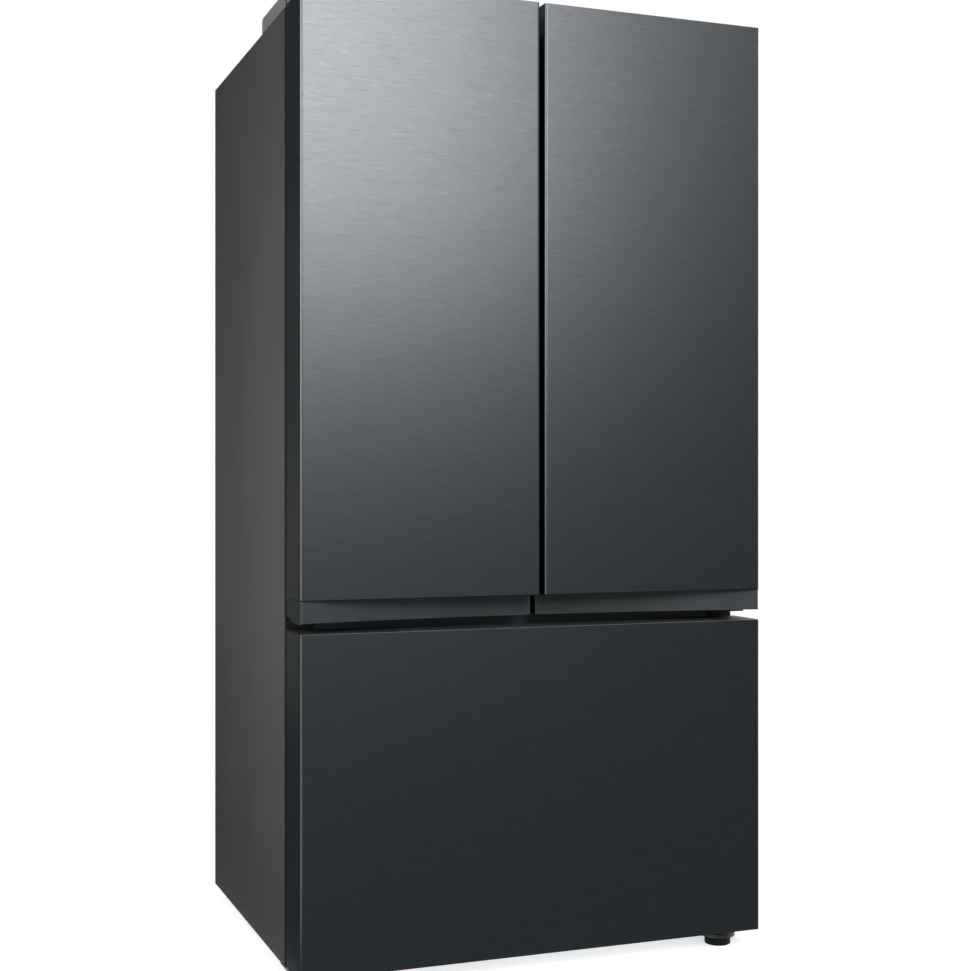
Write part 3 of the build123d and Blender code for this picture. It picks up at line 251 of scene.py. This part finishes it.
def vacuumFormedLiner():
    # glossy white polystyrene sheet drawn over a form: the highlight wavers a little, in long waves
    return patternedFinish("vacuumFormedLiner", linerSheet, {"IOR": 1.59})


hotDipZinc = {"dark": "#939698", "light": "#a3a6a8", "roughness": (0.40, 0.48), "crystal": 9 * mm}


def galvanisedSteel():
    # hot-dip zinc: a patchwork of crystals, each with its own grey and its own sheen
    look = hotDipZinc
    material, tree, shader = newFinish("galvanisedSteel", {"Metallic": 1.0})
    crystals = addPattern(tree, "ShaderNodeTexVoronoi", look["crystal"], {})["Color"]
    shade = addNode(tree, "ShaderNodeSeparateColor", {}, {"Color": crystals}).outputs
    varyColour(tree, shader, shade[0], look, (0.0, 1.0))
    varyRoughness(tree, shader, shade[1], look["roughness"], (0.0, 1.0))
    return material


zincStrip = {"dark": "#a2a6a8", "light": "#bfc3c5", "roughness": (0.26, 0.38),
             "cell": (6 * mm, 120 * mm, 1.5 * mm), "detail": 2.0}


def rolledZincSteel():
    # zinc-plated strip: bright, with drawing lines along the rail
    return patternedFinish("rolledZincSteel", zincStrip, {"Metallic": 1.0})


enamelCoat = {"dark": "#161718", "light": "#1f2021", "roughness": (0.3, 0.42), "relief": 0.1 * mm,
              "cell": 12 * mm, "detail": 2.0}


def blackEnamel():
    # thick black paint on pressed steel: soft sheen, slight sag in the coat
    return patternedFinish("blackEnamel", enamelCoat, {"IOR": 1.5})


gasketPvc = {"dark": "#3a3d3f", "light": "#474a4d", "roughness": (0.55, 0.7), "cell": 3 * mm, "detail": 2.0}


def sealRubber():
    # extruded soft PVC of the gaskets: dull, with faint drag marks
    return patternedFinish("sealRubber", gasketPvc, {"IOR": 1.52})


binPlastic = {"tint": "#f3f8fa", "roughness": (0.04, 0.1), "relief": 0.15 * mm, "cell": 40 * mm,
              "detail": 1.0}


def clearPlastic():
    # clear moulded polystyrene of the bins: see-through, with a slight wave from the mould
    return patternedFinish("clearPlastic", binPlastic, {"IOR": 1.59, "Transmission Weight": 1.0,
                                                        "Base Color": toLinear(binPlastic["tint"])})


shelfPane = {"tint": "#e6f4ef", "roughness": (0.01, 0.05), "cell": 60 * mm, "detail": 2.0}


def toughenedGlass():
    # float glass, faintly green, almost mirror smooth but for a smear here and there
    return patternedFinish("toughenedGlass", shelfPane, {"IOR": 1.52, "Transmission Weight": 1.0,
                                                         "Base Color": toLinear(shelfPane["tint"])})


finStock = {"dark": "#b6bbbe", "light": "#d0d4d6", "roughness": (0.3, 0.45),
            "cell": (2 * mm, 20 * mm, 2 * mm), "detail": 2.0}


def coatedAluminium():
    # fin stock with a thin clear coat: pale, slightly streaked by the press
    return patternedFinish("coatedAluminium", finStock, {"Metallic": 1.0})


blownFoam = {"dark": "#d8c893", "light": "#ecdfb4", "relief": 0.4 * mm, "cell": 2 * mm, "detail": 3.0}


def rigidFoam():
    # blown polyurethane: cream and dull, with closed cells
    return patternedFinish("rigidFoam", blownFoam, {"Roughness": 0.9, "IOR": 1.45})


screwPlating = {"dark": "#9fa3a6", "light": "#bcc0c2", "roughness": (0.24, 0.4), "cell": 2.5 * mm,
                "detail": 2.0}


def platedSteel():
    # zinc-plated screws and bolts: bright, tumbled in the barrel, so each patch shines a little differently
    return patternedFinish("platedSteel", screwPlating, {"Metallic": 1.0})


lampOpal = {"dark": "#eef2f3", "light": "#f7f9f9", "roughness": (0.3, 0.38), "cell": 20 * mm, "detail": 1.0,
            "glow": 0.4, "glowDeep": 4 * mm}


def opalPolycarbonate():
    # milky lamp lens: soft, with light carried under its skin
    return patternedFinish("opalPolycarbonate", lampOpal,
                           {"IOR": 1.58, "Subsurface Weight": lampOpal["glow"],
                            "Subsurface Scale": lampOpal["glowDeep"]})


inletBrass = {"dark": "#a8853f", "light": "#c8a35a", "roughness": (0.22, 0.36),
              "cell": (8 * mm, 1 * mm, 8 * mm), "detail": 1.0}


def turnedBrass():
    # machined brass of the inlet: yellow and bright, with turning rings one after another along Y
    return patternedFinish("turnedBrass", inletBrass, {"Metallic": 1.0})


moulded = {name: mouldedPlastic(name, look) for name, look in plastics.items()}
gripAbs = gripWithShadedEnds()
screwSteel = platedSteel()
lensPlastic = opalPolycarbonate()
finishOf = {
    "dark_brushed_steel": darkBrushedSteel(), "case_paint": precoatedSteel(), "black_steel": blackEnamel(),
    "zinc_steel": galvanisedSteel(), "rail_steel": rolledZincSteel(), "fin_aluminium": coatedAluminium(),
    "charcoal_abs": moulded["charcoalAbs"], "grey_abs": moulded["greyAbs"], "white_abs": moulded["whiteAbs"],
    "black_plastic": moulded["blackPlastic"], "white_liner": vacuumFormedLiner(), "insulation": rigidFoam(),
    "clear_bin": clearPlastic(), "shelf_glass": toughenedGlass(), "seal_rubber": sealRubber(),
    "brass_fitting": turnedBrass(),
}
# nodes whose finish differs from the one of their slot
ownFinish = {"centre_rail": moulded["railCoat"], "shelf_frames": moulded["silverAbs"],
             "left_door_grip": gripAbs, "right_door_grip": gripAbs}
for part in frame["record"]["subparts"]:
    obj = frame["nodes"][part["node"]]
    obj.data.materials.clear()
    obj.data.materials.append(ownFinish.get(part["node"], finishOf[part["material_slot"]]))
print("finishes set on the cabinet, doors, drawer and everything inside")

# small pieces that are not in the frame: screws, bolts, plugs, handles, the lamp's lens, and the black bars
# that are painted shade in the door grooves

ringPoints = 48  # points of every round outline
upward, rearward = (0, 0, 1), (0, 1, 0)


def inMetres(sizes):
    # millimetres to metres, for a number, for a tuple of them and for a whole dictionary
    if isinstance(sizes, dict):
        return {key: inMetres(value) for key, value in sizes.items()}
    if isinstance(sizes, tuple):
        return tuple(inMetres(value) for value in sizes)
    return sizes * mm


def roundOutline(radiusAt):
    # closed outline about the middle, from a radius by angle
    angles = [2 * math.pi * i / ringPoints for i in range(ringPoints)]
    return [(radiusAt(a) * math.cos(a), radiusAt(a) * math.sin(a)) for a in angles]


def circle(radius):
    # the same radius all the way round
    return roundOutline(lambda a: radius)


def hexagon(acrossFlats):
    # six flats, a sector of 60 degrees for each
    sector = math.pi / 3
    return roundOutline(lambda a: acrossFlats / 2 / math.cos((a + sector / 2) % sector - sector / 2))


def crossSlot(reach, wide):
    # outline of the recess for a cross-head driver, with four arms
    def radiusAt(a):
        b = abs((a + math.pi / 4) % (math.pi / 2) - math.pi / 4)
        return min(reach / math.cos(b), wide / 2 / max(math.sin(b), 0.01))  # 0.01 keeps it above zero
    return roundOutline(radiusAt)


def roundedBox(wide, deep, corner):
    # rectangle with round corners, and as many points as a circle
    points = []
    for k, (sx, sy) in enumerate(((1, 1), (-1, 1), (-1, -1), (1, -1))):
        for i in range(ringPoints // 4):
            a = math.pi / 2 * (k + i / (ringPoints / 4 - 1))
            points.append((sx * (wide / 2 - corner) + corner * math.cos(a),
                           sy * (deep / 2 - corner) + corner * math.sin(a)))
    return points


def turned(profile):
    # round outlines from pairs of height and radius
    return [(height, circle(radius)) for height, radius in profile]


def hexHead(size):
    # outlines of a screw or bolt from its foot up, with a hexagon between two round stretches
    flats = [(height, hexagon(size["acrossFlats"])) for height in size["flats"]]
    return turned(size["foot"]) + flats + turned(size["crown"])


def ringMesh(name, rings, material, alongX=False):
    # closed mesh through a stack of outlines, each at its height, on the Z or the X axis
    count = len(rings[0][1])
    verts = [(h, u, v) if alongX else (u, v, h) for h, outline in rings for u, v in outline]
    faces = [tuple(reversed(range(count))), tuple(range((len(rings) - 1) * count, len(rings) * count))]
    for k in range(len(rings) - 1):
        for i in range(count):
            j = (i + 1) % count
            faces.append((k * count + i, k * count + j, (k + 1) * count + j, (k + 1) * count + i))
    mesh = bpy.data.meshes.new(name)
    mesh.from_pydata(verts, [], faces)
    mesh.materials.append(material)
    return mesh


def placePiece(name, mesh, place, body, facing=None):
    # one piece riding on a body, with its Z axis turned to facing if that is given
    obj = bpy.data.objects.new(name, mesh)
    obj.location = place
    if facing:
        obj.rotation_euler = Vector(facing).to_track_quat("Z", "Y").to_euler()
    scene.collection.objects.link(obj)
    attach(obj, body)


# foot, crown and dish are pairs of height and radius, in their order along the surface
coverScrew = inMetres({"foot": ((-2.5, 1.9), (0, 1.9), (0, 6.5), (0.6, 6.5), (1.1, 5.9)),
                       "acrossFlats": 8, "flats": (1.2, 3.7), "crown": ((4.2, 3.6), (4.2, 2.6), (3.7, 2.1)),
                       "inset": 14, "sheet": 1.2})


def rearCoverScrews():
    # hex washer-head sheet screws round the rear cover, inset from its edges
    mesh = ringMesh("hexWasherScrew", hexHead(coverScrew), screwSteel)
    inset = coverScrew["inset"]
    low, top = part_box("machine_cover")
    y = low.y + coverScrew["sheet"]
    near, far = low.x + inset, top.x - inset
    rows = {"top": (top.z - inset, (near, near / 2, 0.0, far / 2, far)),
            "middle": ((low.z + top.z) / 2, (near, far)),
            "low": (low.z + inset, (near, near / 2, far / 2, far))}
    for row, (z, places) in rows.items():
        for i, x in enumerate(places):
            placePiece(f"rear_cover_screw_{row}_{i + 1}", mesh, (x, y, z), "cabinet", rearward)


# slot is the height, reach and width of the recess in the head, at its rim and at its bottom
hingeScrew = inMetres({"foot": ((-3, 1.6), (0, 1.6), (0, 3.6), (0.9, 3.6), (1.7, 3.2), (2.2, 2.5)),
                       "slot": ((2.4, 1.9, 1.0), (1.1, 1.5, 0.8)), "below": 19})


def hingeCoverScrews():
    # one black pan-head screw behind each hinge cover, below its top
    slot = [(height, crossSlot(reach, wide)) for height, reach, wide in hingeScrew["slot"]]
    mesh = ringMesh("panHeadScrew", turned(hingeScrew["foot"]) + slot, finishOf["black_steel"])
    for hand in hands:
        low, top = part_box(f"{hand}_hinge_cover")
        place = ((low.x + top.x) / 2, top.y, top.z - hingeScrew["below"])
        placePiece(f"{hand}_hinge_cover_screw", mesh, place, "cabinet", rearward)


hingeBolt = inMetres({"foot": ((-5.9, 3.9), (0, 3.9), (0, 8), (0.8, 8), (1.3, 7.3)),
                      "acrossFlats": 13, "flats": (1.4, 4.8), "crown": ((5.5, 6.0),),
                      "places": ((394, -130), (434, -130), (414, -225))})


def topHingeBolts():
    # three flanged bolts that hold each top hinge's plate on the case, under its cover
    mesh = ringMesh("flangedBolt", hexHead(hingeBolt), screwSteel)
    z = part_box("top_hinges")[1].z
    for hand, sign in hands.items():
        for i, (x, y) in enumerate(hingeBolt["places"]):
            place = (sign * x, y, z)
            placePiece(f"{hand}_hinge_bolt_{i + 1}", mesh, place, "cabinet", upward)


foamPlug = inMetres({"dish": ((0, 19), (0.7, 19), (1.5, 18.5), (2.4, 16.8), (2.4, 13), (1.7, 12)),
                     "sheet": 1.0, "x": 270, "z": 1000})


def foamPlugs():
    # moulded plugs over the two holes that the foam was poured through
    mesh = ringMesh("foamPlug", turned(foamPlug["dish"]), finishOf["charcoal_abs"])
    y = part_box("back_panel")[0].y + foamPlug["sheet"]
    for hand, sign in hands.items():
        place = (sign * foamPlug["x"], y, foamPlug["z"])
        placePiece(f"{hand}_foam_plug", mesh, place, "cabinet", rearward)


# hook is how far back and up each point is from the crisper's front, a little below its top: up inside
# the front wall, forward and down over the lip, then back under it and down, 2.2 mm thick all the way
crisperHandle = inMetres({"hook": ((0.3, -22), (0.3, -0.6), (-0.3, 0), (-10, 0), (-12, -0.9), (-13, -3),
                                   (-13, -9), (-10.8, -9), (-10.8, -3.6), (-9.6, -2.2), (-2.7, -2.2),
                                   (-2.2, -2.7), (-2.2, -21), (-1.4, -22)), "inset": 22, "below": 1})


def crisperHandles():
    # moulded lip along the top of each crisper's front, to pull it by
    hook = crisperHandle["hook"]
    for hand in hands:
        low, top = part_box(f"{hand}_crisper")
        start, end = low.x + crisperHandle["inset"], top.x - crisperHandle["inset"]
        mesh = ringMesh(f"{hand}_crisper_handle", [(start, hook), (end, hook)], finishOf["white_abs"],
                        alongX=True)
        place = (0, low.y, top.z - crisperHandle["below"])
        placePiece(f"{hand}_crisper_handle", mesh, place, f"{hand}_crisper")


# the ceiling's underside is looked for as far as span to either side of y
lampLens = inMetres({"wide": 298, "deep": 48, "corner": 7, "thick": 1.4, "soft": 0.4, "y": -30, "span": 60,
                     "gap": 0.1})


def ceilingLampLens():
    # opal lens in the recess under the ceiling panel, its lower edge softened
    wide, deep, corner, soft, y = (lampLens[key] for key in ("wide", "deep", "corner", "soft", "y"))
    mesh = ringMesh("ceiling_lamp_lens", [
        (0, roundedBox(wide - 2 * soft, deep - 2 * soft, corner - soft)),
        (soft, roundedBox(wide, deep, corner)),
        (lampLens["thick"], roundedBox(wide, deep, corner))], lensPlastic)
    ceiling = frame["nodes"]["ceiling_panel"].data
    under = min(v.co.z for v in ceiling.vertices if abs(v.co.y - y) < lampLens["span"])
    placePiece("ceiling_lamp_lens", mesh, (0, y, under + lampLens["gap"]), "cabinet", upward)


# low and high are how far its faces are under the door skin's lower edge
grooveShadeBar = inMetres({"inset": 0.4, "bend": 4.6, "deep": 6.9, "low": 1.95, "high": 0.1})
bendSteps = 8  # facets of each rounded end


def grooveShadeBars():
    # a black bar in the slot between each door's skin and its grip: painted shade, standing for the groove's
    # fine dark shadow line
    inset, bend = grooveShadeBar["inset"], grooveShadeBar["bend"]
    quarter = [math.pi / 2 * i / bendSteps for i in range(bendSteps + 1)]
    for hand in hands:
        low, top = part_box(f"{hand}_door_skin")
        start, end = low.x + inset, top.x - inset
        front, back = low.y + inset, low.y + grooveShadeBar["deep"]
        plan = [(start + bend - bend * math.cos(a), front + bend - bend * math.sin(a)) for a in quarter]
        plan += [(end - bend + bend * math.sin(a), front + bend - bend * math.cos(a)) for a in quarter]
        plan += [(end, back), (start, back)]
        mesh = ringMesh(f"{hand}_groove_shade_bar", [(-grooveShadeBar["low"], plan), (-grooveShadeBar["high"], plan)],
                        finishOf["black_plastic"])
        placePiece(f"{hand}_groove_shade_bar", mesh, (0, 0, low.z), f"{hand}_door")


rearCoverScrews()
hingeCoverScrews()
topHingeBolts()
foamPlugs()
crisperHandles()
ceilingLampLens()
grooveShadeBars()
# the groove bars are painted shade: black pieces standing for the shadow in each door's groove
print("screws, bolts, plugs, crisper handles, lamp lens and groove shade bars placed")

# studio: a white world, the floor, cards and strips for reflections, lights and the camera

studio = {"floorColour": "#f4f4f4", "floorLift": 0.62, "ambient": 0.42, "floorReach": 14.0}
white = (1.0, 1.0, 1.0)


def seenByLens(tree):
    # 1 for camera, glossy and transmission rays, so that metal and glass show the same white as the view
    path = addNode(tree, "ShaderNodeLightPath")
    first = addNode(tree, "ShaderNodeMath", {"operation": "MAXIMUM"},
                    {0: path.outputs["Is Camera Ray"], 1: path.outputs["Is Glossy Ray"]})
    return addNode(tree, "ShaderNodeMath", {"operation": "MAXIMUM"},
                   {0: first.outputs[0], 1: path.outputs["Is Transmission Ray"]}).outputs[0]


def whiteWorld():
    # plain white to the lens and to reflections, and a dimmer even light on the object
    world = bpy.data.worlds.new("studio")
    world.use_nodes = True
    tree = world.node_tree
    tree.nodes.clear()
    level = addNode(tree, "ShaderNodeMapRange", {"To Min": studio["ambient"], "To Max": 1.0},
                    {"Value": seenByLens(tree)})
    sky = addNode(tree, "ShaderNodeBackground", {"Color": (*white, 1.0)},
                  {"Strength": level.outputs["Result"]})
    addNode(tree, "ShaderNodeOutputWorld", {}, {"Surface": sky.outputs["Background"]})
    scene.world = world


def sheetObject(name, corners, material):
    # one flat four-cornered sheet of the studio
    mesh = bpy.data.meshes.new(name)
    mesh.from_pydata(corners, [], [(0, 1, 2, 3)])
    mesh.materials.append(material)
    obj = bpy.data.objects.new(name, mesh)
    scene.collection.objects.link(obj)
    return obj


def paleFloor():
    # matt white floor that keeps the shadow and runs into the white behind it
    material, tree = emptyMaterial("paleFloor")
    matt = addNode(tree, "ShaderNodeBsdfDiffuse", {"Color": toLinear(studio["floorColour"])})
    lift = addNode(tree, "ShaderNodeMath", {"operation": "MULTIPLY", 1: studio["floorLift"]},
                   {0: seenByLens(tree)})
    glow = addNode(tree, "ShaderNodeEmission", {"Color": (*white, 1.0)}, {"Strength": lift.outputs[0]})
    total = addNode(tree, "ShaderNodeAddShader", {}, {0: matt.outputs[0], 1: glow.outputs[0]})
    addNode(tree, "ShaderNodeOutputMaterial", {}, {"Surface": total.outputs[0]})
    reach = studio["floorReach"]
    sheetObject("floor", [(-reach, -reach, 0), (reach, -reach, 0), (reach, reach, 0), (-reach, reach, 0)],
                material)


def reflectorCard(name, corners, glow, rise=None):
    # a flag or strip of the studio: it only shows in reflections. rise is its strength at the floor and
    # at its top, and grows with the square of the height
    material, tree = emptyMaterial(name)
    shine = addNode(tree, "ShaderNodeEmission", {"Color": (*glow, 1.0), "Strength": 1.0})
    if rise:
        square = addNode(tree, "ShaderNodeMath", {"operation": "POWER", 1: 2.0},
                         {0: onObject(tree, "Object")["Z"]})
        top = max(z for x, y, z in corners)
        brighter = addNode(tree, "ShaderNodeMapRange",
                           {"From Min": 0.0, "From Max": top ** 2, "To Min": rise[0], "To Max": rise[1]},
                           {"Value": square.outputs[0]})
        tree.links.new(brighter.outputs["Result"], shine.inputs["Strength"])
    addNode(tree, "ShaderNodeOutputMaterial", {}, {"Surface": shine.outputs[0]})
    card = sheetObject(name, corners, material)
    card.visible_camera = False
    card.visible_diffuse = False
    card.visible_transmission = False
    card.visible_shadow = False


def uprightCard(name, start, end, low, high, glow, rise=None):
    # a card standing on the line from start to end
    (x0, y0), (x1, y1) = start, end
    reflectorCard(name, [(x0, y0, low), (x1, y1, low), (x1, y1, high), (x0, y0, high)], glow, rise)


def levelCard(name, xs, ys, z, glow):
    # a card lying level at height z
    reflectorCard(name, [(xs[0], ys[0], z), (xs[1], ys[0], z), (xs[1], ys[1], z), (xs[0], ys[1], z)], glow)


# every glow is a strength in red, green and blue
cards = {"frontGlow": (0.07, 0.095, 0.125), "floorGlow": (0.125, 0.155, 0.175),
         "rearGlow": (0.030, 0.055, 0.06), "lift": 0.001, "high": 6.0, "front": -6.0, "rear": 2.2,
         "left": -5.0, "right": 9.0, "doorLine": -0.40, "caseLine": -0.47}


def darkCards():
    # dark flags in front, on the left and behind, some standing and some lying on the floor
    left, right, front, rear, high = (cards[key] for key in ("left", "right", "front", "rear", "high"))
    doorLine, caseLine, lift = cards["doorLine"], cards["caseLine"], cards["lift"]
    uprightCard("frontCard", (left, front), (right, front), 0, high, cards["frontGlow"])
    levelCard("frontFloorCard", (left, right), (front, doorLine), lift, cards["floorGlow"])
    uprightCard("sideCard", (left, front), (left, rear), 0, high, cards["rearGlow"])
    levelCard("sideFloorCard", (left, caseLine), (doorLine, rear), lift, cards["rearGlow"])
    uprightCard("rearCard", (left, rear), (caseLine, rear), 0, high, cards["rearGlow"])


rearStretches = {"left": -2.0, "gap": 0.01,
                 "cards": {"lowCard": {"z": (0.15, 1.0), "glow": (0.135, 0.142, 0.134)},
                           "midCard": {"z": (1.0, 1.8), "glow": (0.085, 0.095, 0.09)}}}


def palerStretches():
    # paler stretches just before the rear flag, seen in the sides of the doors
    y = cards["rear"] - rearStretches["gap"]
    for name, card in rearStretches["cards"].items():
        low, high = card["z"]
        uprightCard(name, (rearStretches["left"], y), (cards["caseLine"], y), low, high, card["glow"])


# the strip on the floor lies over the dark cards there
strips = {"left": {"x": -2.2, "y": (-2.0, -0.2), "high": 2.4, "rise": (1.3, 11.0)},
          "right": {"x": 2.2, "y": (-0.38, 1.4), "high": 2.4, "rise": (3.0, 3.6)},
          "floor": {"x": (-2.2, -0.75), "y": (-2.0, -0.2), "z": 0.002, "glow": 0.95},
          "over": {"x": (-2.0, 2.0), "y": (-1.7, -0.4), "z": 3.2, "glow": 2.2}}


def softStrips():
    # soft strips beside, below and over the doors, that draw a line along their folded edges
    for side in ("left", "right"):
        strip = strips[side]
        start, end = [(strip["x"], y) for y in strip["y"]]
        uprightCard(f"{side}Strip", start, end, 0, strip["high"], white, strip["rise"])
    for level in ("floor", "over"):
        strip = strips[level]
        levelCard(f"{level}Strip", strip["x"], strip["y"], strip["z"], (strip["glow"],) * 3)


def areaLight(name, place, aim, sizes, power):
    # a rectangular lamp that shines at aim and isn't seen from the camera
    lamp = bpy.data.lights.new(name, "AREA")
    lamp.shape = "RECTANGLE"
    lamp.size, lamp.size_y = sizes
    lamp.energy = power
    obj = bpy.data.objects.new(name, lamp)
    obj.location = place
    obj.rotation_euler = (Vector(aim) - Vector(place)).to_track_quat("-Z", "Y").to_euler()
    obj.visible_camera = False
    scene.collection.objects.link(obj)
    return obj


keyLight = {"x": (-1.2, 1.5), "z": (1.84, 5.0), "y": -4.4, "power": 188.0}
fillLight = {"place": (-1.28, -0.62, 0.92), "aim": (-0.454, -0.20, 0.92), "size": 0.6, "power": 5.8}


def studioLights():
    # a large key light high in front, shining straight back, and a small fill for the case's left side
    (x0, x1), (z0, z1) = keyLight["x"], keyLight["z"]
    x, z = (x0 + x1) / 2, (z0 + z1) / 2
    areaLight("keyLight", (x, keyLight["y"], z), (x, 0, z), (x1 - x0, z1 - z0), keyLight["power"])
    fill = areaLight("fillLight", fillLight["place"], fillLight["aim"], (fillLight["size"],) * 2,
                     fillLight["power"])
    fill.visible_glossy = False


view = {"place": (-1.12466, -3.0290, 0.89537), "tilt": 90.0, "turn": -20.746, "lens": 58.36,
        "sensor": 36.0, "shift": (0.0045, -0.0015)}


def levelCamera():
    # in front and to the left, level, so that upright edges stay upright
    lens = bpy.data.cameras.new("camera")
    lens.lens = view["lens"]
    lens.sensor_width = view["sensor"]
    lens.shift_x, lens.shift_y = view["shift"]
    obj = bpy.data.objects.new("camera", lens)
    obj.location = view["place"]
    obj.rotation_euler = (math.radians(view["tilt"]), 0, math.radians(view["turn"]))
    scene.collection.objects.link(obj)
    scene.camera = obj


whiteWorld()
paleFloor()
darkCards()
palerStretches()
softStrips()
studioLights()
levelCamera()
print("studio, lights and camera ready")
